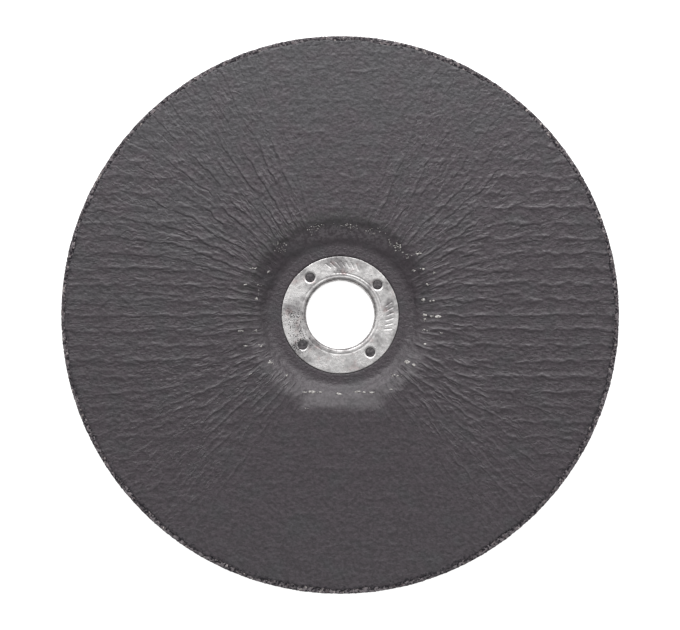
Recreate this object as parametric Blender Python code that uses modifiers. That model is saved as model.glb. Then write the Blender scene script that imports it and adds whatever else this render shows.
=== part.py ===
"""Depressed-centre grinding disc for an angle grinder, lying on its raised hub.

Three pieces: a moulded abrasive body, a pressed sheet metal bushing that lines the arbor hole and
is keyed into the body through four holes, and a creased facing paper pressed onto the work face.
The origin is the centre of the arbor hole on the hub's back seat, +Z is the spin axis and points
out of the recessed work face, and all sizes are in metres.
"""

import math
import random

import bmesh
import bpy
from mathutils import Matrix, Vector

# Disc
DISC_DIAMETER = 0.180
DISC_THICKNESS = 0.006
HUB_THICKNESS = 0.006
RECESS_DEPTH = 0.0046
ARBOR_DIAMETER = 0.02223
RIM_ROUNDING = 0.0005

# Recess in the work face, as widths from the bushing's flange outwards
FLOOR_MARGIN = 0.003
STEEP_WIDTH = 0.0042
SHALLOW_WIDTH = 0.0043
CREASE_SHARE = 0.62  # of the recess depth, the share that lies below the crease
FLOOR_ROUNDING = 0.005
CREASE_ROUNDING = 0.002
SHOULDER_ROUNDING = 0.004

# Raised hub at the back, which follows the recess at this distance outside it
HUB_WALL_OFFSET = 0.0032
HUB_ROUNDING = 0.006

# Bushing
SHEET_THICKNESS = 0.0005
BEND_INNER_RADIUS = 0.0008
FLANGE_WIDTH = 0.00656  # of the flange's flat ring, from the bend to its edge
SLEEVE_SETBACK = 0.0004  # how far the sleeve stops short of the back seat
KEY_HOLE_COUNT = 4
KEY_HOLE_DIAMETER = 0.0032
KEY_HOLE_LAND = 0.00156  # flat sheet left between the bend and a key hole
KEY_HOLE_TURN = math.radians(38.8)
KEY_SINK = 0.00025  # how far a resin key stays below the flange's face
KEY_ROOT = 0.001  # how deep a key's cylinder reaches into the body that it is one with

# Facing paper
PAPER_THICKNESS = 0.0002
BARE_RIM_WIDTH = 0.0015
PAPER_RING_STEP = 0.014  # widest radial step between rings of points on the flat face
PLEAT_COUNT = 62
PLEAT_HEIGHT = 0.00038
PLEAT_HALF_WIDTH = math.radians(3)
PLEAT_SHORTEST = 0.010
PLEAT_LONGEST = 0.058
PLEAT_RUN_IN = 0.004  # length over which a pleat rises from the crease
PLEAT_LEAN = math.radians(9)  # how far a pleat turns towards the paper's grain by the rim
PLEAT_SEED = 27

# Clearances
SEAT_GAP = 0.0003
BEND_CLEARANCE = 0.0004

# Facets
BODY_STEPS = 76
BUSHING_STEPS = 64
PAPER_STEPS = 140
KEY_STEPS = 20
ARC_STEP_ANGLE = math.radians(15)
ARC_STEPS_MOST = 3
SAME_POINT = 1e-6
MERGE_DISTANCE = 1e-5

# Radii
disc_radius = DISC_DIAMETER / 2
arbor_radius = ARBOR_DIAMETER / 2
bend_outer_radius = BEND_INNER_RADIUS + SHEET_THICKNESS
bend_end_radius = arbor_radius + bend_outer_radius
key_circle_radius = bend_end_radius + KEY_HOLE_LAND + KEY_HOLE_DIAMETER / 2
flange_radius = bend_end_radius + FLANGE_WIDTH
floor_radius = flange_radius + FLOOR_MARGIN
crease_radius = floor_radius + STEEP_WIDTH
shoulder_radius = crease_radius + SHALLOW_WIDTH
hub_seat_radius = floor_radius + HUB_WALL_OFFSET
hub_foot_radius = shoulder_radius + HUB_WALL_OFFSET
sleeve_radius = arbor_radius + SHEET_THICKNESS
body_bore_radius = sleeve_radius + SEAT_GAP
paper_inner_radius = flange_radius + SEAT_GAP
paper_outer_radius = disc_radius - BARE_RIM_WIDTH

# Heights
recess_floor_z = HUB_THICKNESS
crease_z = recess_floor_z + RECESS_DEPTH * CREASE_SHARE
work_face_z = recess_floor_z + RECESS_DEPTH
back_face_z = work_face_z - DISC_THICKNESS
flange_seat_z = recess_floor_z - SHEET_THICKNESS
paper_bed_depth = PAPER_THICKNESS + SEAT_GAP


def principled(name, colour, roughness, metallic):
    """A plain material with a Principled BSDF."""
    material = bpy.data.materials.new(name)
    material.use_nodes = True
    shader = material.node_tree.nodes["Principled BSDF"]
    shader.inputs["Base Color"].default_value = (*colour, 1)
    shader.inputs["Roughness"].default_value = roughness
    shader.inputs["Metallic"].default_value = metallic
    material.diffuse_color = (*colour, 1)
    return material


def new_collection(name):
    """A collection linked to the scene."""
    collection = bpy.data.collections.new(name)
    bpy.context.scene.collection.children.link(collection)
    return collection


def rounded(corners, closed):
    """The points of an outline given as corners (radius, height, rounding), each rounding an arc.

    An arc never takes more than nearly half of the shorter side next to it.
    """
    points = []
    last = len(corners) - 1
    for i, (r, z, rounding) in enumerate(corners):
        corner = Vector((r, z))
        at_open_end = not closed and i in (0, last)
        if rounding == 0 or at_open_end:
            points.append(corner)
            continue
        to_previous = Vector(corners[i - 1][:2]) - corner
        to_next = Vector(corners[(i + 1) % len(corners)][:2]) - corner
        half_angle = to_previous.angle(to_next) / 2
        room = 0.49 * min(to_previous.length, to_next.length)
        reach = min(rounding / math.tan(half_angle), room)
        arc_radius = reach * math.tan(half_angle)
        bisector = (to_previous.normalized() + to_next.normalized()).normalized()
        centre = corner + bisector * arc_radius / math.sin(half_angle)
        first = corner + to_previous.normalized() * reach - centre
        final = corner + to_next.normalized() * reach - centre
        sweep = -first.angle_signed(final)
        steps = min(ARC_STEPS_MOST, math.ceil(abs(sweep) / ARC_STEP_ANGLE))
        for step in range(steps + 1):
            turn = Matrix.Rotation(sweep * step / steps, 2)
            points.append(centre + turn @ first)
    return [p for i, p in enumerate(points) if i == 0 or (p - points[i - 1]).length > SAME_POINT]


def turned(name, outline, closed, steps, material, collection):
    """An outline of (radius, height) points spun round the Z axis by a Screw modifier."""
    mesh = bpy.data.meshes.new(name)
    edge_count = len(outline) if closed else len(outline) - 1
    edges = [(i, (i + 1) % len(outline)) for i in range(edge_count)]
    mesh.from_pydata([(r, 0, z) for r, z in outline], edges, [])
    mesh.materials.append(material)
    obj = bpy.data.objects.new(name, mesh)
    collection.objects.link(obj)
    screw = obj.modifiers.new("Turn", "SCREW")
    screw.steps = steps
    screw.render_steps = steps
    screw.use_merge_vertices = True
    screw.merge_threshold = MERGE_DISTANCE
    return obj


def applied(obj):
    """The object with its modifiers made part of its mesh."""
    bpy.context.view_layer.update()
    evaluated = obj.evaluated_get(bpy.context.evaluated_depsgraph_get())
    mesh = bpy.data.meshes.new_from_object(evaluated)
    obj.modifiers.clear()
    obj.data = mesh
    return obj


def shade_round(obj, sharp_angle=math.radians(30)):
    """Smooth shading with sharp edges kept."""
    obj.data.shade_smooth()
    obj.data.set_sharp_from_angle(angle=sharp_angle)


def key_cylinders(name, diameter, low, high, collection):
    """One upright cylinder at each key hole, as one helper object for a Boolean."""
    bm = bmesh.new()
    for i in range(KEY_HOLE_COUNT):
        angle = KEY_HOLE_TURN + math.tau * i / KEY_HOLE_COUNT
        across = Vector((math.cos(angle), math.sin(angle), 0)) * key_circle_radius
        place = across + Vector((0, 0, (low + high) / 2))
        bmesh.ops.create_cone(
            bm,
            cap_ends=True,
            segments=KEY_STEPS,
            radius1=diameter / 2,
            radius2=diameter / 2,
            depth=high - low,
            matrix=Matrix.Translation(place),
        )
    mesh = bpy.data.meshes.new(name)
    bm.to_mesh(mesh)
    bm.free()
    obj = bpy.data.objects.new(name, mesh)
    obj.hide_render = True
    obj.display_type = "WIRE"
    collection.objects.link(obj)
    return obj


def boolean(obj, other, operation):
    """Joins or cuts with an exact Boolean modifier."""
    modifier = obj.modifiers.new(operation.title(), "BOOLEAN")
    modifier.operation = operation
    modifier.solver = "EXACT"
    modifier.object = other


def recess_corners(drop):
    """The recess's outline from its floor to the work face, lowered by drop."""
    return [
        (floor_radius, recess_floor_z - drop, FLOOR_ROUNDING),
        (crease_radius, crease_z - drop, CREASE_ROUNDING),
        (shoulder_radius, work_face_z - drop, SHOULDER_ROUNDING),
    ]


def build_body(material, collection, cutters):
    """The moulded body: a dished disc of even wall, bedded for the paper and seated for the flange."""
    bore_chamfer = BEND_INNER_RADIUS + BEND_CLEARANCE
    bed_edge = paper_outer_radius + SEAT_GAP
    paper_bed_z = recess_floor_z - paper_bed_depth
    seat_edge = paper_inner_radius
    outline = rounded(
        [
            (body_bore_radius, 0, 0),
            (body_bore_radius, flange_seat_z - bore_chamfer, 0),
            (body_bore_radius + bore_chamfer, flange_seat_z, 0),
            (seat_edge, flange_seat_z, 0),
            (seat_edge, paper_bed_z, 0),
            *recess_corners(paper_bed_depth),
            (bed_edge, work_face_z - paper_bed_depth, 0),
            (bed_edge, work_face_z, 0),
            (disc_radius, work_face_z, RIM_ROUNDING),
            (disc_radius, back_face_z, RIM_ROUNDING),
            (hub_foot_radius, back_face_z, HUB_ROUNDING),
            (hub_seat_radius, 0, HUB_ROUNDING),
        ],
        closed=True,
    )
    body = turned("abrasive_body", outline, True, BODY_STEPS, material, collection)
    keys = key_cylinders(
        "resin_keys",
        KEY_HOLE_DIAMETER - 2 * SEAT_GAP,
        flange_seat_z - KEY_ROOT,
        recess_floor_z - KEY_SINK,
        cutters,
    )
    boolean(body, keys, "UNION")
    shade_round(applied(body))
    return body


def build_bushing(material, collection, cutters):
    """The pressed bushing: a flat flange, a bend and a sleeve, all of one sheet, with key holes."""
    sheet_edge_rounding = SHEET_THICKNESS / 4
    outline = rounded(
        [
            (arbor_radius, SLEEVE_SETBACK, 0),
            (arbor_radius, recess_floor_z, bend_outer_radius),
            (flange_radius, recess_floor_z, sheet_edge_rounding),
            (flange_radius, flange_seat_z, 0),
            (sleeve_radius, flange_seat_z, BEND_INNER_RADIUS),
            (sleeve_radius, SLEEVE_SETBACK, 0),
        ],
        closed=True,
    )
    bushing = turned("bushing", outline, True, BUSHING_STEPS, material, collection)
    punches = key_cylinders(
        "key_hole_punches",
        KEY_HOLE_DIAMETER,
        flange_seat_z - KEY_ROOT,
        recess_floor_z + KEY_ROOT,
        cutters,
    )
    boolean(bushing, punches, "DIFFERENCE")
    shade_round(applied(bushing))
    return bushing


def make_pleats():
    """Pleats spread round the hub, each as (angle, length, height).

    The paper's grain runs along X, so the pleats that lie along it are the longest and highest.
    """
    chance = random.Random(PLEAT_SEED)
    pleats = []
    for i in range(PLEAT_COUNT):
        angle = math.tau * (i + chance.uniform(-0.3, 0.3)) / PLEAT_COUNT
        along_grain = math.cos(angle) ** 2
        longest = PLEAT_SHORTEST + (PLEAT_LONGEST - PLEAT_SHORTEST) * (0.3 + 0.7 * along_grain)
        length = longest * chance.uniform(0.45, 1)
        height = PLEAT_HEIGHT * (0.35 + 0.65 * along_grain) * chance.uniform(0.6, 1)
        pleats.append((angle, length, height))
    return pleats


def pleat_rise(radius, angle, pleats):
    """Height of the paper above its smooth form at a point: the highest pleat that crosses it."""
    if radius <= crease_radius:
        return 0
    past_crease = radius - crease_radius
    run = past_crease / (paper_outer_radius - crease_radius)
    rise = 0
    for pleat_angle, length, height in pleats:
        line = pleat_angle - PLEAT_LEAN * math.sin(2 * pleat_angle) * run
        off_line = abs((angle - line + math.pi) % math.tau - math.pi) / PLEAT_HALF_WIDTH
        if off_line < 1 and past_crease < length:
            taper = min(1, past_crease / PLEAT_RUN_IN) * (1 - past_crease / length)
            rise = max(rise, height * (1 - off_line) * taper)
    return rise


def build_paper(material, collection):
    """The facing paper: a thin turned sheet over the recess and the face, pleated round the hub."""
    flat_start = shoulder_radius + SHOULDER_ROUNDING
    rings = max(1, math.ceil((paper_outer_radius - flat_start) / PAPER_RING_STEP))
    flat = [flat_start + (paper_outer_radius - flat_start) * i / rings for i in range(rings + 1)]
    outline = rounded(
        [
            (paper_inner_radius, recess_floor_z, 0),
            *recess_corners(0),
            *[(r, work_face_z, 0) for r in flat],
        ],
        closed=False,
    )
    paper = turned("facing_paper", outline, False, PAPER_STEPS, material, collection)
    applied(paper)
    pleats = make_pleats()
    for vertex in paper.data.vertices:
        x, y, z = vertex.co
        vertex.co.z = z + pleat_rise(math.hypot(x, y), math.atan2(y, x), pleats)
    solidify = paper.modifiers.new("Sheet", "SOLIDIFY")
    solidify.thickness = PAPER_THICKNESS
    solidify.offset = -1
    shade_round(paper)
    return paper


def clear_scene():
    """Removes the objects that the scene starts with."""
    for obj in list(bpy.data.objects):
        bpy.data.objects.remove(obj)


def main():
    clear_scene()
    disc = new_collection("grinding_disc")
    cutters = new_collection("cutters")
    cutters.hide_render = True
    grain = principled("resin_bonded_grain", (0.045, 0.043, 0.045), 0.9, 0.0)
    zinc = principled("zinc_plated_sheet", (0.43, 0.42, 0.41), 0.4, 1.0)
    crepe = principled("resin_soaked_paper", (0.091, 0.083, 0.090), 0.6, 0.0)
    build_body(grain, disc, cutters)
    build_bushing(zinc, disc, cutters)
    build_paper(crepe, disc)


main()
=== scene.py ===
"""The looks of a depressed-centre grinding disc: creased facing paper over a coarse abrasive body,
with a pressed sheet metal bushing keyed into its recess. Lengths are in metres, apart from those
that a docstring says are in millimetres.
"""

import functools
import itertools
import math

import bpy
import numpy as np
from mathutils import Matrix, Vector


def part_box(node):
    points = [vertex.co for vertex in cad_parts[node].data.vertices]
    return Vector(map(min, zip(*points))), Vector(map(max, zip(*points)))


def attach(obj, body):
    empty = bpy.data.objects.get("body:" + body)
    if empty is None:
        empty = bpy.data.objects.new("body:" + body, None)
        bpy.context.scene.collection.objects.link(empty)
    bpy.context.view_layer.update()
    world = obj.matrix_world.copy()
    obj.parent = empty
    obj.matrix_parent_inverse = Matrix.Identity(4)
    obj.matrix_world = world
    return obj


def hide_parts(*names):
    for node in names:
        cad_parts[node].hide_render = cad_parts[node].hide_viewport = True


bl_info = {
    "name": "Grinding Disc",
    "version": (1, 0, 0),
    "blender": (4, 5, 0),
    "location": "View3D > Sidebar > Grinding Disc",
    "description": "Facing paper, abrasive grain and pressed bushing of a grinding disc",
    "category": "Object",
}

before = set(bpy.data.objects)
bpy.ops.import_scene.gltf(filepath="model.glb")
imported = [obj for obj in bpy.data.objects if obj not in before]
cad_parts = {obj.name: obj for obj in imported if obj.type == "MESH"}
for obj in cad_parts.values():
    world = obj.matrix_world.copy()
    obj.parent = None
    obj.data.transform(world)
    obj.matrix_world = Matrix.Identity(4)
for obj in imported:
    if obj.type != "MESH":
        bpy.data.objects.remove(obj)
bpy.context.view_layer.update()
BODY_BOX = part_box("abrasive_body")
PAPER_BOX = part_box("facing_paper")
BUSHING_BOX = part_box("bushing")

MM = 0.001
TAU = 2 * math.pi
KEY_HOLES = 4
PLEATS = 84  # main pleats round the recess
CREASE_EDGE = 40  # angle in degrees from which the bushing's edges are sharp
BED_DEPTH = 0.5 * MM  # from the paper's face down to the body's bed under it
BED_RADII = (0.0212, 0.0232, 0.0252, 0.0262, 0.0296, 0.0315, 0.0340)  # rows under the paper
RIM_BAND = 4.5 * MM  # how far the rim's piece reaches in under the paper
# painted shade: the near-black of the paper's pores and grooves
CREVICE_SHADE = (0.018, 0.016, 0.019)  # pores and grooves of the paper
# painted shade: the near-black in holes between grains and where the paper's edge has crumbled
PIT_SHADE = (0.010, 0.008, 0.012)  # holes between grains


# Sizes and colours that a user would change


def length(name, description, default):
    """A property in metres."""
    return bpy.props.FloatProperty(
        name=name, description=description, default=default, min=0, precision=5, unit="LENGTH"
    )


def amount(name, description, default):
    """A plain number property."""
    return bpy.props.FloatProperty(name=name, description=description, default=default)


def number(name, description, default):
    """A whole number property."""
    return bpy.props.IntProperty(name=name, description=description, default=default)


def colour(name, description, default):
    """A linear colour property."""
    return bpy.props.FloatVectorProperty(
        name=name, description=description, default=default, size=3, min=0, max=1, subtype="COLOR"
    )


class DiscSizes(bpy.types.PropertyGroup):
    """The turned form that the pieces share."""

    disc_radius: length("Disc Radius", "From the axis to the rim", BODY_BOX[1].x)
    work_face: length("Work Face", "Height of the flat work face", BODY_BOX[1].z)
    back_face: length("Back Face", "Height of the flat back face", 0.0046)
    recess_floor: length("Recess Floor", "Height of the recess's floor", BUSHING_BOX[1].z)
    floor_corner: length("Floor Corner", "Radius where the recess's wall starts", 0.021975)
    crease_corner: length("Crease Corner", "Radius where the wall turns shallower", 0.026175)
    shoulder_corner: length("Shoulder Corner", "Radius where the wall meets the face", 0.030475)
    hub_seat: length("Hub Seat", "Outer radius of the flat seat at the back", 0.025175)
    hub_foot: length("Hub Foot", "Radius where the raised hub meets the back", 0.033675)
    body_bore: length("Body Bore", "Radius of the body's bore", 0.011915)
    arbor_bore: length("Arbor Bore", "Radius of the bushing's bore", 0.011115)


class PaperLook(bpy.types.PropertyGroup):
    """The facing paper."""

    outer_radius: length("Paper Radius", "Outer edge of the paper", PAPER_BOX[1].x)
    inner_gap: length("Inner Gap", "Between the flange and the paper's inner edge", 0.0003)
    thickness: length("Thickness", "Of the paper", 0.0002)
    pleat_height: length("Pleat Height", "Of the highest pleats", 0.00023)
    strand_pitch: length("Strand Pitch", "Between the mesh strands that show through", 0.00495)
    strand_height: length("Strand Height", "How far a strand raises the paper", 0.00018)
    fine_height: length("Fine Crease Height", "Of the small creases along the pleats", 0.00015)
    crepe_height: length("Crepe Height", "Of the bumps of the crepe", 0.00023)
    warm: colour("Warm Tone", "Where the resin has browned the paper", (0.0595, 0.0463, 0.0562))
    cool: colour("Cool Tone", "Where the paper is greyer", (0.0530, 0.0478, 0.0548))
    roughness: amount("Roughness", "Of the resin-soaked surface", 0.45)


class GrainLook(bpy.types.PropertyGroup):
    """The abrasive body."""

    grain_size: length("Grain Size", "Distance between the rim's grains", 0.00062)
    grain_height: length("Grain Height", "How far a grain stands out at the rim", 0.00022)
    mesh_pitch: length("Mesh Pitch", "Between strands of the glass fibre mesh", 0.0050)
    strand_height: length("Strand Height", "How far a strand shows at the back", 0.00016)
    binder: colour("Binder", "Resin between the grains", (0.052, 0.045, 0.051))
    grain: colour("Grain", "Faces of the grains", (0.175, 0.155, 0.165))
    # painted glints on the palest grains take this colour
    spark: colour("Spark", "Broken faces of the palest grains", (0.55, 0.50, 0.48))


class BushingLook(bpy.types.PropertyGroup):
    """The pressed bushing."""

    bend_radius: length("Bend Radius", "Outer radius of the bend into the bore", 0.0013)
    sheet: length("Sheet", "Thickness of the sheet metal", 0.0005)
    hole_circle: length("Key Hole Circle", "Radius of the circle of key holes", 0.015575)
    hole_radius: length("Key Hole Radius", "Of each key hole", 0.0016)
    hole_turn: amount("Key Hole Turn", "Angle of the first key hole, in degrees", 38.8)
    bright: colour("Bright Zinc", "Clean plating", (0.765, 0.75, 0.745))
    dull: colour("Dull Zinc", "Stained plating", (0.17, 0.16, 0.165))


class StageLook(bpy.types.PropertyGroup):
    """Camera, lights and floor."""

    camera_height: length("Camera Height", "Of the lens above the floor", 0.6195)
    lens: amount("Lens", "Focal length in millimetres", 100.0)
    key_power: amount("Key Power", "Of the key lamp, in watts", 1.9)
    key_distance: length("Key Distance", "From the disc's centre to the key lamp", 0.42)
    key_rise: amount("Key Rise", "Angle of the key lamp above the floor, in degrees", 35.0)
    key_turn: amount("Key Turn", "Angle of the key lamp to the left, in degrees", 5.0)
    key_width: length("Key Width", "Width of the key lamp", 0.75)
    key_depth: length("Key Depth", "Depth of the key lamp", 0.34)
    ambient: amount("Ambient", "Strength of the light from all round", 0.68)
    floor_glow: amount("Floor Glow", "How much the floor is whitened where it is seen", 0.72)


# Shapes worked out as whole arrays


def smooth_step(low, high, value):
    """0 below low, 1 above high, and 3t^2 - 2t^3 between them."""
    t = np.clip((value - low) / (high - low), 0, 1)
    return t * t * (3 - 2 * t)


def towards(angle, degrees, low, high):
    """A smooth step of the cosine of the angle from a direction in degrees."""
    return smooth_step(low, high, np.cos(angle - math.radians(degrees)))


def bell(offset, width):
    """e to the power of minus the square of the offset over the width."""
    return np.exp(-((offset / width) ** 2))


def shuffled(table, cell):
    """A number from 0 to 255 for each lattice cell, looked up in a shuffled table."""
    x, y, z = np.moveaxis(cell & 255, -1, 0)
    return table[table[table[x] + y] + z]


def gradient_noise(points, size, seed):
    """Smooth noise of about -1 to 1 on a lattice whose cells are size millimetres long.

    Each lattice corner has a random direction. The noise is each corner's direction dotted with
    the way from it to the point, blended along each axis by 6t^5 - 15t^4 + 10t^3.
    """
    chance = np.random.default_rng(seed)
    table = np.tile(chance.permutation(256), 2)
    directions = chance.normal(size=(256, 3))
    directions /= np.linalg.norm(directions, axis=1, keepdims=True)
    points = points / np.multiply(size, MM)
    cell = np.floor(points).astype(np.int64)
    part = points - cell
    fade = part**3 * (part * (part * 6 - 15) + 10)
    total = np.zeros(points.shape[:-1])
    for corner in itertools.product((0, 1), repeat=3):
        direction = directions[shuffled(table, cell + corner)]
        weight = np.prod(np.where(corner, fade, 1 - fade), axis=-1)
        total += weight * np.sum(direction * (part - corner), axis=-1)
    return total * 1.6


def lumps(points, seed):
    """Height, 0 to 1, of packed grains at points counted in grain sizes.

    Each cell has one random site, and the grain there is a dome: height times the root of one
    less the squared distance over the grain's radius squared. The highest dome at a point counts.
    """
    chance = np.random.default_rng(seed)
    table = np.tile(chance.permutation(256), 2)
    sites = chance.uniform(0, 1, size=(256, 3))
    tall = chance.uniform(0.35, 1, size=256)
    reach = chance.uniform(0.55, 0.95, size=256)
    cell = np.floor(points).astype(np.int64)
    best = np.zeros(points.shape[:-1])
    for corner in itertools.product((-1, 0, 1), repeat=3):
        near = cell + corner
        pick = shuffled(table, near)
        away = np.sum((near + sites[pick] - points) ** 2, axis=-1)
        best = np.maximum(best, tall[pick] * np.sqrt(np.clip(1 - away / reach[pick] ** 2, 0, 1)))
    return best


def bent_line(radius, height, bends):
    """Height of an outline that starts level and is turned at each bend (radius, slope, half width).

    A bend adds its slope along a parabola, from half width before its radius to half width after.
    """
    line = np.full(radius.shape, float(height))
    for at, slope, half in bends:
        inside = np.clip(radius - (at - half), 0, 2 * half)
        beyond = np.maximum(radius - (at + half), 0)
        line += slope * (inside**2 / (4 * half) + beyond)
    return line


def recess_corners(sizes):
    """Radii of the recess's four bends: foot of the wall, steeper wall, crease and shoulder."""
    floor = sizes.floor_corner
    wall = (floor + 0.9 * MM, floor + 1.6 * MM)
    return (*wall, sizes.crease_corner - 0.5 * MM, sizes.shoulder_corner - 0.3 * MM)


def recess_line(radius, sizes):
    """Height of the work side at a radius: floor, wall that steepens to the crease, wall, face.

    The wall's second slope starts part of the way up, and the one past the crease makes up what
    is left of the recess's depth.
    """
    foot, steeper, crease, shoulder = recess_corners(sizes)
    first, second = 0.32, 0.54
    climbed = first * (crease - foot) + second * (crease - steeper)
    shallow = (sizes.work_face - sizes.recess_floor - climbed) / (shoulder - crease)
    bends = (
        (foot, first, 1.1 * MM),
        (steeper, second, 0.8 * MM),
        (crease, shallow - first - second, 0.5 * MM),
        (shoulder, -shallow, 1.6 * MM),
    )
    return bent_line(radius, sizes.recess_floor, bends)


def dish(radius, angle, sizes):
    """Height of the work side at a radius and an angle.

    It is the recess's outline, but straight below the hub the shoulder runs level instead of
    round, so the part of the outline from the crease to the shoulder is stretched to reach it.
    """
    *_, crease, shoulder = recess_corners(sizes)
    below = -np.sin(angle)
    level = (shoulder - 0.6 * MM) / np.maximum(below, 0.5)
    reach = shoulder + smooth_step(0.87, 0.93, below) * (level - shoulder)
    wall = crease + (radius - crease) * (shoulder - crease) / (reach - crease)
    read_at = np.where(radius > reach, radius - reach + shoulder, wall)
    return recess_line(np.where(radius > crease, read_at, radius), sizes)


def round_angles(columns):
    """Evenly spaced angles of one turn."""
    return np.arange(columns) * TAU / columns


def spun(radius, height, angle):
    """Points at radius and height, turned round the axis by angle, as an array of x, y, z."""
    radius, height, angle = np.broadcast_arrays(radius, height, angle)
    return np.stack((radius * np.cos(angle), radius * np.sin(angle), height), axis=-1)


def key_centres(bushing, height):
    """Centres of the key holes, at a height."""
    turns = math.radians(bushing.hole_turn) + TAU * np.arange(KEY_HOLES) / KEY_HOLES
    return spun(bushing.hole_circle, height, turns)


def ring_faces(rows, columns):
    """Quads of a grid that closes on itself both ways, with corners as indices of its points."""
    row, column = np.meshgrid(np.arange(rows), np.arange(columns), indexing="ij")
    below = (row + 1) % rows * columns
    beside = (column + 1) % columns
    quads = (row * columns + column, row * columns + beside, below + beside, below + column)
    return np.stack(quads, axis=-1).reshape(-1, 4)


def outward(points, faces):
    """The faces, turned round if the volume that they enclose comes out negative.

    The volume is a sixth of the sum, over the triangles, of each corner's triple product.
    """
    volume = 0.0
    for last in range(2, faces.shape[1]):
        a, b, c = (points[faces[:, i]] for i in (0, last - 1, last))
        volume += np.sum(a * np.cross(b, c))
    return faces if volume > 0 else faces[:, ::-1]


def add_piece(name, points, finish, node, faces=None, stored=None):
    """Makes a closed mesh piece that rides on the disc and stands for a node of the frame.

    Without faces, the points are a grid that closes on itself both ways. stored gives vectors
    by name, one at each point, for the finish to read.
    """
    faces = ring_faces(*points.shape[:2]) if faces is None else faces
    points = points.reshape(-1, 3)
    faces = np.ascontiguousarray(outward(points, faces))
    mesh = bpy.data.meshes.new(name)
    mesh.vertices.add(len(points))
    mesh.vertices.foreach_set("co", points.astype(np.float32).ravel())
    mesh.loops.add(faces.size)
    mesh.loops.foreach_set("vertex_index", faces.astype(np.int32).ravel())
    mesh.polygons.add(len(faces))
    mesh.polygons.foreach_set("loop_start", np.arange(0, faces.size, faces.shape[1]))
    mesh.update(calc_edges=True)
    mesh.validate()
    mesh.shade_smooth()
    mesh.materials.append(finish)
    for key, vectors in (stored or {}).items():
        attribute = mesh.attributes.new(key, "FLOAT_VECTOR", "POINT")
        attribute.data.foreach_set("vector", vectors.astype(np.float32).ravel())
    piece = bpy.data.objects.new(name, mesh)
    bpy.context.scene.collection.objects.link(piece)
    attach(piece, "root")
    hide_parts(node)
    return piece


# Finishes


def arithmetic(operation, swapped=False):
    """A method that makes a Math node of a signal and another value, or of the two swapped."""

    def method(signal, other):
        return signal.math(operation, *((other, signal) if swapped else (signal, other)))

    return method


class Signal:
    """An output socket in a finish. Arithmetic on it adds Math nodes."""

    def __init__(self, finish, socket):
        self.finish = finish
        self.socket = socket

    def math(self, operation, *values, clamp=False):
        """A Math node on these values."""
        settings = {"operation": operation, "use_clamp": clamp}
        return self.finish.node("ShaderNodeMath", settings, dict(enumerate(values)))

    __add__ = __radd__ = arithmetic("ADD")
    __sub__ = arithmetic("SUBTRACT")
    __rsub__ = arithmetic("SUBTRACT", swapped=True)
    __mul__ = __rmul__ = arithmetic("MULTIPLY")
    __truediv__ = arithmetic("DIVIDE")
    __rtruediv__ = arithmetic("DIVIDE", swapped=True)
    __pow__ = arithmetic("POWER")
    most = arithmetic("MAXIMUM")

    def __abs__(self):
        return self.math("ABSOLUTE", self)

    def clamped(self):
        """Kept from 0 to 1."""
        return self.math("ADD", self, 0.0, clamp=True)

    def step(self, low, high):
        """A smooth rise from 0 at low to 1 at high."""
        settings = {"interpolation_type": "SMOOTHSTEP"}
        return self.finish.node("ShaderNodeMapRange", settings, {0: self, 1: low, 2: high})

    def rise(self, low, high):
        """The same for a length, from low to high in millimetres."""
        return self.step(low * MM, high * MM)

    def band(self, middle, full, none):
        """1 up to full away from the middle and 0 from none away on, all in millimetres."""
        return 1 - abs(self - middle * MM).rise(full, none)

    def bell(self, middle, width):
        """A bell curve of a length, as bell() draws it, in millimetres."""
        return self.math("EXPONENT", 0.0 - ((self - middle * MM) / (width * MM)) ** 2.0)


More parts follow.
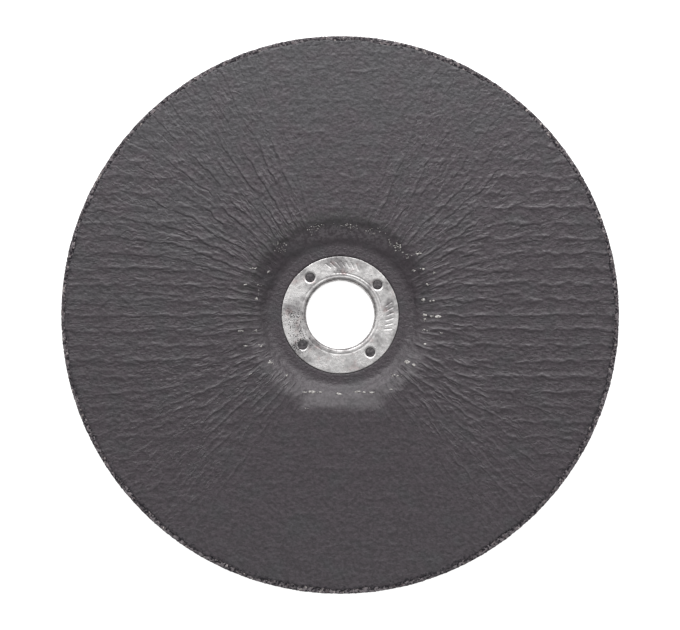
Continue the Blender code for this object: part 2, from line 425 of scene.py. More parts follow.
class Finish:
    """The node tree of a material or a world, being filled. One method adds any node."""

    def __init__(self, owner):
        owner.use_nodes = True
        self.owner = owner
        self.tree = owner.node_tree
        self.tree.nodes.clear()

    def node(self, kind, settings=None, inputs=None, output=0):
        """Adds a node, sets its settings and then its sockets, and gives one of its outputs."""
        node = self.tree.nodes.new(kind)
        for key, value in (settings or {}).items():
            setattr(node, key, value)
        for key, value in (inputs or {}).items():
            socket = node.inputs[key]
            if isinstance(value, Signal):
                self.tree.links.new(value.socket, socket)
            else:
                socket.default_value = value
        return Signal(self, node.outputs[output]) if node.outputs else None

    def vector(self, operation, *values, output=0):
        """A Vector Math node on these values."""
        settings = {"operation": operation}
        return self.node("ShaderNodeVectorMath", settings, dict(enumerate(values)), output)

    @functools.cached_property
    def place(self):
        """Object coordinates, which are the frame's own."""
        return self.node("ShaderNodeTexCoord", output="Object")

    @functools.cached_property
    def radius(self):
        """The distance from the disc's axis."""
        level = self.vector("MULTIPLY", self.place, (1.0, 1.0, 0.0))
        return self.vector("LENGTH", level, output="Value")

    def stored(self, name):
        """A vector that the mesh keeps at each point."""
        return self.node("ShaderNodeAttribute", {"attribute_name": name}, output="Vector")

    def split(self, vector):
        """The three parts of a vector."""
        first = self.node("ShaderNodeSeparateXYZ", inputs={0: vector})
        return [Signal(self, output) for output in first.socket.node.outputs]

    def counted(self, place, size):
        """A place counted in cells of a size in millimetres: one length, or three."""
        sizes = size if hasattr(size, "__len__") else (size,) * 3
        return self.vector("MULTIPLY", place, tuple(1 / (length * MM) for length in sizes))

    def noise(self, size, detail=2.0, roughness=0.5, output="Fac", at=None):
        """Noise of about 0 to 1 with features of a size in millimetres: one length, or three."""
        inputs = {"Vector": self.counted(at or self.place, size), "Scale": 1.0}
        inputs |= {"Detail": detail, "Roughness": roughness}
        return self.node("ShaderNodeTexNoise", None, inputs, output)

    def sites(self, size, output="Distance"):
        """Distance to, or colour of, the nearest of sites scattered a size apart, in metres."""
        inputs = {"Vector": self.counted(self.place, size / MM), "Scale": 1.0, "Randomness": 1.0}
        return self.node("ShaderNodeTexVoronoi", None, inputs, output)

    def mix(self, factor, first, second, blend="MIX"):
        """One colour blended into another."""
        settings = {"data_type": "RGBA", "blend_type": blend}
        colours = [c if isinstance(c, Signal) else (*c, 1.0) for c in (first, second)]
        return self.node("ShaderNodeMix", settings, {0: factor, 6: colours[0], 7: colours[1]}, 2)

    def coated(self, below, *coats):
        """A colour under coats, each a factor and a colour, or a factor and a number to multiply by."""
        for factor, coat in coats:
            if isinstance(coat, float):
                below = self.mix(factor, below, (coat,) * 3, "MULTIPLY")
            else:
                below = self.mix(factor, below, coat)
        return below

    def bump(self, height):
        """A normal from a height in metres."""
        return self.node("ShaderNodeBump", inputs={"Height": height, "Distance": 1.0})

    def surface(self, **inputs):
        """Ends the tree in a Principled shader with these sockets, and gives the material."""
        names = [key.replace("_", " ").title().replace("Ior", "IOR") for key in inputs]
        shader = self.node("ShaderNodeBsdfPrincipled", inputs=dict(zip(names, inputs.values())))
        self.node("ShaderNodeOutputMaterial", inputs={"Surface": shader})
        return self.owner


def new_finish(name):
    """The Finish of a new material."""
    return Finish(bpy.data.materials.new(name))


def paper_finish(look):
    """Resin-soaked crepe paper: blotched grey, creased along the pleats and over the mesh."""
    tree = new_finish("resin_soaked_crepe")
    pleats, crepe, inside = tree.split(tree.stored("creasing"))
    above, strength, _ = tree.split(tree.stored("fold"))
    over, strand, _ = tree.split(tree.stored("weave"))
    east, north, _ = tree.split(tree.place)
    west, radius = 0 - east, tree.radius
    upper = north.rise(-6, 24)

    waver = tree.noise(2.6, detail=1, output="Color")
    path = tree.vector("MULTIPLY_ADD", waver, (1.7 * MM, 1.7 * MM, 0.0), tree.stored("flow"))
    near = tree.noise((1.5, 1.5, 8), detail=1, roughness=0.4, at=path)
    far = tree.noise((1.0, 1.0, 8), detail=1, roughness=0.4, at=path)
    outer = radius.rise(44, 66)
    fine = near * (1 - outer) + far * outer
    patchy = tree.noise(4.5, detail=1).step(0.38, 0.60)
    creased = pleats * (1 - abs(fine - 0.5) * 8).clamped() ** 1.3 * patchy
    crest = above.bell(0, 0.28) * strength
    groove = above.bell(-0.55, 0.24) * strength
    brow = over.bell(0.25, 0.36) * strand
    foot = over.bell(-0.75, 0.36) * strand

    leather = tree.noise((1.4, 1.25, 1.5), detail=1.2)
    fibre = tree.noise((0.75, 0.95, 1.0), detail=0.4)
    matted = tree.noise(1.0, detail=3, roughness=0.65)
    height = creased * look.fine_height + crepe * (leather - 0.5) * look.crepe_height
    height = height + crest * (1 - upper * 0.5) * (0.06 * MM) - groove * (1 + upper) * (0.055 * MM)
    height = height + brow * (0.05 * MM) - foot * (0.04 * MM)
    height = height + fibre * (0.045 * MM) + matted * inside * (0.26 * MM)

    # painted sheen: towards the top, and a little to the left, the blotches lean to the cool, greyer
    # tone
    upper_sheen = (north - east * 0.5).rise(-10, 110) * 0.18 - 0.03
    blotch_and_sheen = (tree.noise(8, roughness=0.55) + upper_sheen).step(0.46, 0.70) * 0.9
    # painted sheen: a lighter, greener grey towards the far top and bottom of the face, most at the top
    painted_sheen = (abs(north).rise(45, 90) + north.rise(20, 70) * 0.6) * 0.10
    # painted shade: a broad band through the middle of the face is darker, more so on its left
    middle_shade = north.band(-8, 12, 80)
    mottle = tree.noise(1.0, detail=1.4, roughness=0.6).step(0.35, 0.65)
    pores = tree.noise(0.9, detail=1).step(0.66, 0.72)
    # painted shade: darker in the crepe's hollows, in the groove below each pleat's crest and at each
    # strand's foot, most at the top
    dip = (leather.step(0.28, 0.48) * 0.5 + fibre.step(0.3, 0.6) * 0.5).clamped()
    groove_shade = ((1 - dip) * 0.16 + groove * (0.20 + upper * 0.42) + foot * 0.16).clamped()
    # painted highlight: lighter on the pleats' crests, the strands' brows and the fine creases, which
    # are also a little less rough
    crest_highlight = (crest * (0.6 - upper * 0.4) + brow * 0.45 + creased * 0.25).clamped()
    # painted shade: patches darker round the recess's shoulder, most at the upper left
    darkening = (radius - (north - east) * 0.022).band(30.4, 1.2, 4.0)
    darkening = darkening * ((north - east * 0.6).rise(0, 28) * 0.9 + 0.08)
    darkening = darkening * tree.noise(1.1, detail=3, roughness=0.7).step(0.36, 0.58)
    # painted shade: darker on the recess's left wall by the crease
    left_wall_shade = radius.band(25.6, 0.5, 2.0) * west.rise(12, 23) * north.band(0, 7, 16)
    # painted shade: dims the highlight on the bottom wall near the shoulder, most to the right, where
    # the paper is also rougher
    lip_shade = radius.band(28.8, 1.6, 2.8) * (0 - north).rise(12, 22) * (east.rise(-20, 4) * 0.7 + 0.3)
    # painted light: lighter round the foot of the recess's wall, most towards the top and bottom
    wall_foot_light = radius.band(23.9, 1.5, 2.7) * (abs(north).rise(5, 20) * 0.10 + 0.04)
    # lighter along the crease at the top: pale resin that bled through, and painted light as well
    bled = radius.band(26.8, 1.2, 3.4) * north.rise(18, 25.5)
    bled = bled * (mottle.step(0.2, 0.9) * 0.55 + 0.08)
    crumbled = tree.noise(0.9, roughness=0.6) + radius.rise(86.6, 88.7) * 0.17
    holes = crumbled.step(0.65, 0.70) * radius.rise(86.2, 87.4)
    base_color = tree.coated(
        tree.mix(blotch_and_sheen, look.warm, look.cool),
        (painted_sheen, (0.066, 0.080, 0.079)),
        (middle_shade, 0.84),
        (middle_shade * west.rise(24, 56), 0.95),
        # painted light: inside the recess the mottling darkens less
        (mottle * (0.75 - inside * 0.2), 0.44),
        (pores * 0.6, CREVICE_SHADE),
        (groove_shade, CREVICE_SHADE),
        (crest_highlight * 0.5, (0.13, 0.12, 0.13)),
        (darkening * 0.58, (0.020, 0.020, 0.019)),
        (left_wall_shade * 0.26, (0.020, 0.019, 0.020)),
        (lip_shade, 0.86),
        (wall_foot_light, (0.110, 0.100, 0.108)),
        (bled, (0.130, 0.116, 0.127)),
        (holes, PIT_SHADE),
    )
    roughness = look.roughness + (blotch_and_sheen - 0.5) * 0.06 + (mottle - 0.5) * 0.08
    return tree.surface(
        base_color=base_color,
        roughness=roughness - crest_highlight * 0.10 + lip_shade * 0.09,
        specular_ior_level=0.6,
        normal=tree.bump(height),
    )


def grain_finish(look):
    """Coarse grain in resin: near-black pits of painted shade, warm grey grains and a few pale broken
    faces that carry painted glints.
    """
    tree = new_finish("bonded_grain")
    size = look.grain_size * 1.4
    shade, pale, warm = tree.split(tree.sites(size, "Color"))
    face = (1 - tree.sites(size) * 1.3).clamped()
    crumbs = tree.noise(0.22, roughness=0.6)
    # painted shade: below the face, the rim's side is coloured darker and gets fewer glints
    side = 1 - tree.split(tree.place)[2].rise(9.2, 10.4)
    glint = pale.step(0.86, 0.94) * face.step(0.2, 0.5) * crumbs.step(0.42, 0.58)
    glint = glint * (1 - side * 0.4)
    # painted shadow of the paper's edge: more pits, in painted shade, close inside it
    ledge = 1 - tree.radius.rise(88.5, 89.5)
    pits = (tree.noise(0.80, roughness=0.6) + ledge * 0.06).step(0.54, 0.60) * (1 - glint)
    base_color = tree.mix(shade.step(0.25, 0.9), look.binder, look.grain)
    base_color = tree.coated(
        tree.mix(side, base_color, (0.66, 0.65, 0.65), "MULTIPLY"),
        (warm.step(0.62, 0.9) * face * 0.4, (0.190, 0.125, 0.115)),
        (glint, look.spark),
        (pits, PIT_SHADE),
    )
    return tree.surface(
        base_color=base_color,
        roughness=0.62 - glint * 0.30 + pits * 0.25,
        specular_ior_level=0.4,
        normal=tree.bump(face * (0.10 * MM) + crumbs * (0.05 * MM) - pits * (0.15 * MM)),
    )


def back_finish(look):
    """The moulded back: grain pressed flat in resin, under the glass fibre mesh's strands."""
    tree = new_finish("moulded_back")
    strand, _, _ = tree.split(tree.stored("strands"))
    shade, pale, _ = tree.split(tree.sites(look.grain_size, "Color"))
    face = (1 - tree.sites(look.grain_size) * 1.4).clamped()
    glint = pale.step(0.90, 0.95) * face.step(0.3, 0.5) * (1 - strand)
    height = face * (1 - strand) * (0.07 * MM) + tree.noise(0.3, roughness=0.6) * (0.03 * MM)
    height = height + tree.noise(0.35, detail=1) * strand * (0.05 * MM)
    base_color = tree.coated(
        tree.mix(face * (shade * 0.7 + 0.3), look.binder, look.grain),
        (strand * 0.6, (0.050, 0.045, 0.040)),
        (glint * 0.6, look.spark),
        (tree.noise(14, detail=3).step(0.35, 0.65) * 0.35, (0.045, 0.042, 0.044)),
    )
    return tree.surface(
        base_color=base_color,
        roughness=0.66 - strand * 0.14,
        specular_ior_level=0.35,
        normal=tree.bump(height),
    )


def resin_finish():
    """Dark cured resin with a dull gloss."""
    tree = new_finish("cured_resin")
    cloud = tree.noise(0.9, detail=3, roughness=0.6)
    return tree.surface(
        base_color=tree.mix(cloud.step(0.35, 0.65), (0.030, 0.027, 0.030), (0.095, 0.085, 0.090)),
        roughness=0.34 + cloud * 0.2,
        normal=tree.bump(cloud * (0.12 * MM)),
    )


def bead_finish():
    """Pale, glossy resin, whose paleness is partly a painted highlight."""
    tree = new_finish("pale_resin_and_highlight")
    cloud = tree.noise(0.7)
    return tree.surface(
        base_color=tree.mix(cloud.step(0.35, 0.6), (0.15, 0.14, 0.14), (0.52, 0.50, 0.48)),
        roughness=0.2 + cloud * 0.2,
    )


def zinc_finish(look):
    """Zinc-plated sheet: satin, stained, scratched, and pitted at one side."""
    tree = new_finish("zinc_plated_sheet")
    east, north, _ = tree.split(tree.place)

    def spots(*places):
        """Spots that fade to 0 at their reach, each given as x, y and reach in mm, and a strength."""
        total = 0.0
        for x, y, reach, strength in places:
            away = ((east - x * MM) ** 2.0 + (north - y * MM) ** 2.0) ** 0.5
            total = (1 - away.rise(0, reach)) * strength + total
        return total

    worn = spots((-15.0, 6.5, 5.0, 0.20), (1.0, -16.0, 6.0, 0.16), (10.5, 14.0, 4.0, 0.10))
    darkening = spots((-15.6, 3.0, 4.2, 0.24), (-1.8, 17.8, 3.2, 0.18))
    darkening = darkening + spots((-11.5, -9.5, 3.0, 0.16), (4.5, -15.8, 3.0, 0.06))
    pitted = spots((-15.2, -1.4, 8.0, 0.17), (-13.0, -9.5, 6.5, 0.19))
    strokes, dips, scores = tree.split(tree.stored("marks"))
    small = tree.noise(1.0, detail=3, roughness=0.6)
    speck = tree.noise(0.42, detail=1.5, roughness=0.6)
    # the plating's bright and dull patches: real stains and wear, and painted reflection of the
    # surroundings
    stain_and_reflection = (tree.noise(4.6) + darkening - worn).step(0.33, 0.72) * 0.80 + (small - 0.5) * 1.1
    pits = (speck + pitted).step(0.70, 0.74)
    # painted shade, with some grime: darker at the bend into the bore, along the score and bead, round
    # the key holes and in the strokes
    bend_shade = 1 - tree.radius.rise(11.15, 12.6)
    grime_and_shade = (bend_shade * 0.75 + scores * 0.45 + strokes * 0.95 + dips * 0.30).clamped()
    grime_and_shade = (grime_and_shade * (0.6 + small.step(0.3, 0.6) * 0.4) + strokes * 0.38).clamped()
    scratches = tree.noise((0.12, 3.5, 3.5), detail=1).step(0.62, 0.7)
    height = small * (0.060 * MM) + speck * (0.010 * MM) - pits * (0.05 * MM)
    base_color = tree.coated(
        tree.mix(stain_and_reflection.clamped(), look.bright, look.dull),
        (pits, (0.035, 0.032, 0.034)),
        # painted reflection: pinkish tints in patches
        (tree.noise(3.1).step(0.55, 0.75) * 0.40, (0.50, 0.36, 0.35)),
        (grime_and_shade, (0.11, 0.10, 0.10)),
    )
    return tree.surface(
        base_color=base_color,
        metallic=1.0,
        roughness=(0.26 + stain_and_reflection * 0.16 + pits * 0.2).clamped(),
        normal=tree.bump(height - scratches * (0.004 * MM)),
    )


# The facing paper


def flow_starts(radii, angles):
    """For each ring and angle, the angle at which the crease line through there leaves the recess.

    A crease line starts out radial. Towards the two sides it is pulled level, the more so the
    further out it is: its direction is the outward one times 1 - pull, plus the level one times
    pull. The rings are gone through outwards, and each takes its start angles from the ring
    inside it.
    """
    turn = np.zeros((len(radii), len(angles)))
    side = np.tanh(4 * np.cos(angles))
    axis_pull = 0.8 * np.exp(-((np.sin(angles) / 0.5) ** 4))
    for i in range(1, len(radii)):
        pull = axis_pull * np.clip((radii[i] - 34 * MM) / (26 * MM), 0, 1)
        outward_part = 1 - pull + pull * np.abs(np.cos(angles))
        rate = -pull * np.sin(angles) * side / (radii[i] * outward_part)
        inner = angles - rate * (radii[i] - radii[i - 1])
        turn[i] = inner - angles + np.interp(inner, angles, turn[i - 1], period=TAU)
    return angles + turn


def creasing(radius, angle, sizes):
    """How strong the pleats and the crepe are at each point, and how far inside the recess it is.

    Each is from 0 to 1. Pleats are strong along the diagonals and weaker at the two sides, where
    the mesh's strands take over. They reach less far towards the top and bottom, and start at the
    crease. The crepe fills the face outside the recess, and is faintest at the bottom.
    """
    crease = sizes.crease_corner
    across, up = np.abs(np.cos(angle)), np.sin(angle)
    down = smooth_step(0.35, 0.95, -up)
    least = 0.12 + 0.28 * down
    diagonal = smooth_step(least, least + 0.33, across)
    diagonal = diagonal * (1 - 0.45 * smooth_step(0.88, 0.985, across))
    diagonal = diagonal * (0.95 - 0.40 * smooth_step(44 * MM, 78 * MM, radius))
    near = (0.40 - 0.06 * down) * (1 - smooth_step(32 * MM, 46 * MM, radius))
    start = smooth_step(crease - 0.7 * MM, crease + 0.4 * MM, radius)
    pleats = start * np.maximum(diagonal, near) * (1 - 0.25 * down)
    by_recess = 1 - smooth_step(28 * MM, 37 * MM, radius)
    pleats = pleats * (1 - 0.45 * smooth_step(0.1, 0.6, up) * by_recess)
    upper_left = towards(angle, 135, 0.6, 0.95)
    pleats = pleats * (1 - 0.25 * smooth_step(0.2, 0.7, up) + 0.12 * upper_left)
    face = 0.55 + 0.45 * smooth_step(crease, sizes.shoulder_corner + 4 * MM, radius)
    inside = 1 - smooth_step(crease - 1 * MM, crease + 2 * MM, radius)
    return pleats, face * (1 - 0.35 * down), inside


def main_pleats(points, radius, angle, starts, flow):
    """Where the main pleats run: the distance above the nearest one, and how strong it is there.

    One wave a pleat goes round the recess, and noise makes them waver, most at the upper right. A
    pleat stands on each whole count, and where they are far apart a weaker one on each half. The
    distance is the sine of the wave over its gradient, and positive towards the top of the disc.
    Patches of noise that are drawn out along the flow let each pleat come and go.
    """
    phase = PLEATS * starts / TAU
    straight = 1 - 0.8 * towards(angle, 45, 0.5, 0.9)
    calmer = 1 - straight * (1 - 40 * MM / np.maximum(radius, 40 * MM))
    for share, size in ((0.32, 12), (0.20, 4.5), (0.10, 1.8)):
        phase = phase + share * calmer * gradient_noise(points, size, 5)
    wave = np.exp(1j * TAU * phase)
    outward_change = np.gradient(wave, radius[:, 0], axis=0)
    round_change = np.roll(wave, -1, axis=1) - np.roll(wave, 1, axis=1)
    round_change = round_change / (2 * (angle[0, 1] - angle[0, 0]) * radius)
    steepness = np.hypot(np.abs(outward_change), np.abs(round_change))
    above = wave.imag / steepness * np.where(np.cos(angle) < 0, -1, 1)
    whole = smooth_step(-0.4, 0.4, wave.real)
    half = smooth_step(3.2 * MM, 5.5 * MM, TAU / steepness)
    patches = gradient_noise(flow, (2.3, 2.3, 7), 8) + 0.25 * towards(angle, 135, 0.6, 0.95)
    patches = 0.08 + 0.92 * smooth_step(-0.2, 0.25, patches)
    return above, (whole + 0.8 * (1 - whole) * half) * patches


def mesh_strands(points, look):
    """Where the mesh's level strands raise the paper: the distance above one, and its strength.

    The strands lie one pitch apart along y, and noise makes them waver. They stand out most
    towards the two sides. Elsewhere only dashes of them show, where noise drawn out along x is
    high.
    """
    x, y = points[..., 0], points[..., 1]
    reach = np.hypot(x, y)
    waver = 0.0
    for share, size, seed in ((0.95, 11, 11), (0.80, 3.8, 12), (0.50, 1.7, 12)):
        waver = waver + share * MM * gradient_noise(points, size, seed)
    count = (y + waver) / look.strand_pitch
    above = (count - np.round(count)) * look.strand_pitch
    sides = smooth_step(0.55, 0.95, np.abs(x) / reach)
    shown = gradient_noise(points, (5, 2.4, 5), 13) + 0.44 * sides
    strength = (0.62 + 0.34 * sides) * smooth_step(-0.05, 0.42, shown)
    strength *= 1 - 0.45 * smooth_step(0.2, 0.75, -y / reach)
    strength *= np.where(x < 0, 1 - 0.28 * sides, 1)
    strength *= 0.82 + 0.18 * smooth_step(34 * MM, 48 * MM, reach)
    strength *= 1 + 0.22 * smooth_step(50 * MM, 66 * MM, x)
    strength *= 0.8 + 0.35 * gradient_noise(points, 2.2, 15)
    return above, strength * smooth_step(26 * MM, 29 * MM, reach)


def narrow_pleats(points, radius, flow):
    """Relief, 0 to about 1, of the narrow pleats: ridges where noise stretched along the flow is 0.

    The noise's cells are smaller on the outer part, where the flow lines have spread apart.
    """
    waver = 0.9 * MM * gradient_noise(points, 5, 12)
    path = flow + waver[..., None] * (1.0, 1.0, 0.0)
    outer = smooth_step(44 * MM, 66 * MM, radius)
    near = gradient_noise(path, (2.0, 2.0, 12), 7)
    far = gradient_noise(path, (1.25, 1.25, 12), 13)
    lines = np.clip(1 - np.abs((1 - outer) * near + outer * far) / 0.32, 0, 1) ** 1.3
    shown = smooth_step(-0.35, 0.3, gradient_noise(points, 6, 9))
    return 0.55 * lines * shown + 0.35 * gradient_noise(path, (3.4, 3.4, 18), 10)


class GRINDING_DISC_OT_press_paper(bpy.types.Operator):
    """Lays the creased facing paper over the recess and the work face"""

    bl_idname = "grinding_disc.press_paper"
    bl_label = "Press Facing Paper"

    columns: number("Columns", "Points round", 800)
    recess_rows: number("Recess Rows", "Rows inside", 24)
    face_rows: number("Face Rows", "Rows outside", 84)

    def execute(self, context):
        """The sheet is the recess's outline spun round, raised by the pleats and the crepe.

        Its underside is the same outline, one thickness lower, on fewer rows.
        """
        sizes, look = context.scene.disc_sizes, context.scene.paper_look
        inner, outer = BUSHING_BOX[1].x + look.inner_gap, look.outer_radius
        edge = sizes.shoulder_corner + 3 * MM
        turned = 0.12 * MM
        recess = np.linspace(inner + turned, edge, self.recess_rows, endpoint=False)
        face = np.linspace(edge, outer - turned, self.face_rows)
        radius = np.concatenate(([inner], recess, face, [outer]))[:, None]
        angle = round_angles(self.columns)[None, :]
        starts = flow_starts(radius[:, 0], angle[0])
        flow = spun(40 * MM, radius, starts)
        smooth = spun(radius, dish(radius, angle, sizes), angle)
        stray = 0.35 * gradient_noise(smooth, 4, 35) + 0.25 * gradient_noise(smooth, 1.5, 36)
        on_wall = smooth_step(inner + 0.5 * MM, inner + 2 * MM, radius)
        smooth = spun(radius, dish(radius + MM * stray * on_wall, angle, sizes), angle)

        pleats, crepe, inside = creasing(radius, angle, sizes)
        above, strength = main_pleats(smooth, radius, angle, starts, flow)
        strength = strength * pleats
        over, strand = mesh_strands(smooth, look)
        main = strength * bell(above, np.where(above > 0, 0.55, 0.38) * MM)
        rise = look.pleat_height * (main + 0.6 * pleats * narrow_pleats(smooth, radius, flow))
        rise += look.strand_height * strand * bell(over, np.where(over > 0, 0.95, 0.70) * MM)
        tremor = 0.05 * gradient_noise(smooth, (4, 2.0, 4), 31)
        rise += MM * crepe * (tremor + 0.04 * gradient_noise(smooth, 1.6, 32))
        top = smooth.copy()
        top[..., 2] += rise
        ragged = 0.32 * MM * gradient_noise(smooth[-1], 1.7, 33)
        ragged += 0.75 * MM * gradient_noise(smooth[-1], 7, 34)
        follows = smooth_step(outer - 3 * MM, outer - turned, radius)
        top[..., :2] *= 1 + (follows * ragged / outer)[..., None]
        top[-1, :, 2] -= 0.05 * MM
        top[0, :, 2] -= 0.04 * MM

        under_radius = np.array((outer - 0.05 * MM, *BED_RADII[::-1], inner))[:, None]
        under = spun(under_radius, dish(under_radius, angle, sizes) - look.thickness, angle)
        nearest = np.abs(radius[:, 0] - under_radius).argmin(axis=1)
        stored = {"flow": flow}
        parts = (("creasing", pleats, crepe, inside), ("fold", above, strength, 0))
        for name, *three in (*parts, ("weave", over, strand, 0)):
            stored[name] = np.stack(np.broadcast_arrays(*three), axis=-1)
        stored = {name: np.concatenate((part, part[nearest])) for name, part in stored.items()}
        points = np.concatenate((top, under))
        finish = paper_finish(look)
        add_piece("creased_facing", points, finish, "facing_paper", stored=stored)
        return {"FINISHED"}


# The abrasive body


def along(stops):
    """Outline points (radius, height) between stops (radius, height, steps to the next stop)."""
    runs = []
    for (r0, z0, steps), (r1, z1, _) in zip(stops, stops[1:] + stops[:1]):
        share = np.arange(steps)[:, None] / steps
        runs.append((1 - share) * (r0, z0) + share * (r1, z1))
    return np.concatenate(runs)


def single(radii, heights):
    """Stops at these radii and heights, one step apart."""
    return [(radius, height, 1) for radius, height in zip(radii, heights)]


def quarter(radius, height, size, first, steps):
    """Stops of a quarter turn round a centre, from the angle first, in degrees, clockwise."""
    turns = np.radians(first - 90 * np.arange(steps + 1) / steps)
    return single(radius + size * np.cos(turns), height + size * np.sin(turns))


def outline_normals(outline):
    """Unit normals of a closed clockwise outline, from the chord between each point's neighbours."""
    chord = np.roll(outline, -1, axis=0) - np.roll(outline, 1, axis=0)
    normal = np.stack((-chord[:, 1], chord[:, 0]), axis=1)
    return normal / np.linalg.norm(normal, axis=1, keepdims=True)


def strand_relief(points, look):
    """Relief, 0 to 1, of a plain woven mesh: soft bands along x and y that pass over and under.

    A band is one less the distance from its line over its half width, to the fourth power, and
    rises or sinks with the cosine of the way along it.
    """
    drift = 0.35 * MM * gradient_noise(points, 12, 61)
    across = (points[..., 0] + 0.3 * points[..., 1] + drift) / look.mesh_pitch
    beside = (points[..., 1] - 0.3 * points[..., 0] + drift) / look.mesh_pitch
    half = 0.15
    bands = []
    for here, other in ((across, beside), (beside, across + 1)):
        off = np.abs(here - np.round(here)) / half
        over = 0.78 + 0.22 * np.cos(np.pi * (other + np.round(here)))
        bands.append(np.clip(1 - off**4, 0, 1) * over)
    return np.maximum(*bands)


def grained(outline, lift, columns, look):
    """An outline spun round: its points, their normals, and how far the grain stands out at each.

    lift is the share, 0 to 1, of the grain's height at each point of the outline.
    """
    angle = round_angles(columns)[None, :]
    base, normal = (
        spun(line[:, :1], line[:, 1:], angle) for line in (outline, outline_normals(outline))
    )
    grain = lumps(base / look.grain_size, 41) - 0.55
    coarse = gradient_noise(base, 2.4, 42)
    return base, normal, look.grain_height * lift[:, None] * (grain + 0.25 * coarse)


def domes(centres, radii, rise, depth, rings, segments, stretch=1.0):
    """Points and triangles of closed low domes at the centres, longer along x by a stretch.

    A dome's height is rise times one less the squared share of its radius. Below its edge a
    wall goes down by depth to a point under the centre.
    """
    share = np.arange(1, rings + 1)[:, None] / rings
    disc = spun(share, rise * (1 - share**2), round_angles(segments)).reshape(-1, 3)
    unit = np.concatenate(([(0, 0, rise)], disc, [(0, 0, -depth)]))
    scale = np.stack((radii * stretch, radii / stretch, np.ones_like(radii)), axis=-1)
    points = centres[:, None, :] + unit[None] * scale[:, None, :]
    here = np.arange(segments)
    beside = (here + 1) % segments
    inner = 1 + segments * np.arange(rings - 1)[:, None]
    outer = inner + segments
    edge, last = 1 + (rings - 1) * segments, 1 + rings * segments
    corners = (
        (0, 1 + here, 1 + beside),
        (inner + here, outer + here, outer + beside),
        (inner + here, outer + beside, inner + beside),
        (edge + here, last, edge + beside),
    )
    one = [np.stack(np.broadcast_arrays(*three), axis=-1).reshape(-1, 3) for three in corners]
    faces = np.concatenate(one) + np.arange(len(centres))[:, None, None] * len(unit)
    return points, faces.reshape(-1, 3)


class GRINDING_DISC_OT_mould_body(bpy.types.Operator):
    """Moulds the abrasive body: grainy rim, woven back and the resin keys"""

    bl_idname = "grinding_disc.mould_body"
    bl_label = "Mould Abrasive Body"

    rim_columns: number("Rim Columns", "Round", 2400)
    back_columns: number("Back Columns", "Round", 850)

    def execute(self, context):
        """Rim and back are closed outlines spun round, with grain and strands raised on them."""
        sizes, look = context.scene.disc_sizes, context.scene.grain_look
        self.add_rim(sizes, look, context.scene.paper_look)
        self.add_back(sizes, look)
        self.add_keys(sizes, context.scene.bushing_look)
        return {"FINISHED"}

    def add_rim(self, sizes, look, paper):
        """The band of bare grain round the rim, from under the paper's edge to the back."""
        rim, face, back = sizes.disc_radius, sizes.work_face, sizes.back_face
        join, bed = rim - RIM_BAND, face - BED_DEPTH
        ledge = paper.outer_radius - 0.7 * MM
        rounding = 0.5 * MM
        stops = [
            (join, bed, 1),
            (ledge, bed, 2),
            (ledge, face - 0.12 * MM, 7),
            *quarter(rim - rounding, face - rounding, rounding, 90, 3)[:-1],
            (rim, face - rounding, 14),
            *quarter(rim - rounding, back + rounding, rounding, 0, 3)[:-1],
            (rim - rounding, back, 8),
            (join, back, 2),
        ]
        outline = along(stops)
        radius, height = outline.T
        by_paper = smooth_step(ledge - 0.05 * MM, ledge + 0.3 * MM, radius)
        at_back = smooth_step(join + 1 * MM, rim - 1.5 * MM, radius)
        lift = np.where(height < back + rounding, at_back, by_paper)
        base, normal, out = grained(outline, lift, self.rim_columns, look)
        points = base + normal * out[..., None]
        add_piece("bare_rim", points, grain_finish(look), "abrasive_body")

    def add_back(self, sizes, look):
        """The rest of the body: bore, seat, paper bed, hub and the back with its mesh."""
        face, back, bore = sizes.work_face, sizes.back_face, sizes.body_bore
        foot, hub = sizes.hub_foot, sizes.hub_seat
        join, seat = sizes.disc_radius - RIM_BAND, sizes.recess_floor - BED_DEPTH
        bed_radii = np.array((0.0193, *BED_RADII))
        hub_radii = np.linspace(foot + 2 * MM, hub - 2 * MM, 18)
        slope = back / (foot - hub)
        hub_bends = ((hub, slope, 1.4 * MM), (foot, -slope, 1.4 * MM))
        stops = [
            (bore, 0.3 * MM, 3),
            (bore, seat - 1.2 * MM, 1),
            (bore + 1.2 * MM, seat, 1),
            *single(bed_radii, recess_line(bed_radii, sizes) - BED_DEPTH),
            (join, face - BED_DEPTH, 1),
            (join, back, 66),
            *single(hub_radii, bent_line(hub_radii, 0.0, hub_bends)),
            (hub - 2.4 * MM, 0.0, 10),
            (bore + 0.3 * MM, 0.0, 1),
        ]
        outline = along(stops)
        apart = np.linalg.norm(np.diff(outline, axis=0), axis=1) > 1e-6
        outline = outline[np.append(True, apart)]
        radius, upward = outline[:, :1], outline_normals(outline)[:, 1:]
        shown = smooth_step(0.2, 0.7, -upward)
        base, normal, out = grained(outline, 0.22 * shown[:, 0], self.back_columns, look)
        strands = strand_relief(base, look) * shown
        past_seat = smooth_step(hub - 1 * MM, hub + 1 * MM, radius)
        sunk = look.strand_height * (strands - 1) * (0.35 + 0.65 * past_seat)
        out = out * (0.3 + 0.7 * past_seat) + sunk
        points = base + normal * np.where(shown > 0, out, 0)[..., None]
        angle = round_angles(self.back_columns)[None, :]
        below_dish = recess_line(radius, sizes) - dish(radius, angle, sizes)
        points[..., 2] -= below_dish * (upward > 0.5)
        points[..., 2] = np.maximum(points[..., 2], 0)
        stored = {"strands": np.repeat(strands[..., None], 3, axis=-1)}
        finish = back_finish(look)
        add_piece("moulded_body", points, finish, "abrasive_body", stored=stored)

    def add_keys(self, sizes, bushing):
        """The resin that fills the key holes: four low, uneven domes."""
        centres = key_centres(bushing, sizes.recess_floor - 0.42 * MM)
        radii = np.full(KEY_HOLES, bushing.hole_radius - 0.08 * MM)
        points, faces = domes(centres, radii, 0.12 * MM, 0.5 * MM, rings=12, segments=48)
        points[..., 2] += 0.07 * MM * gradient_noise(points, 0.9, 51)
        add_piece("resin_keys", points, resin_finish(), "abrasive_body", faces)


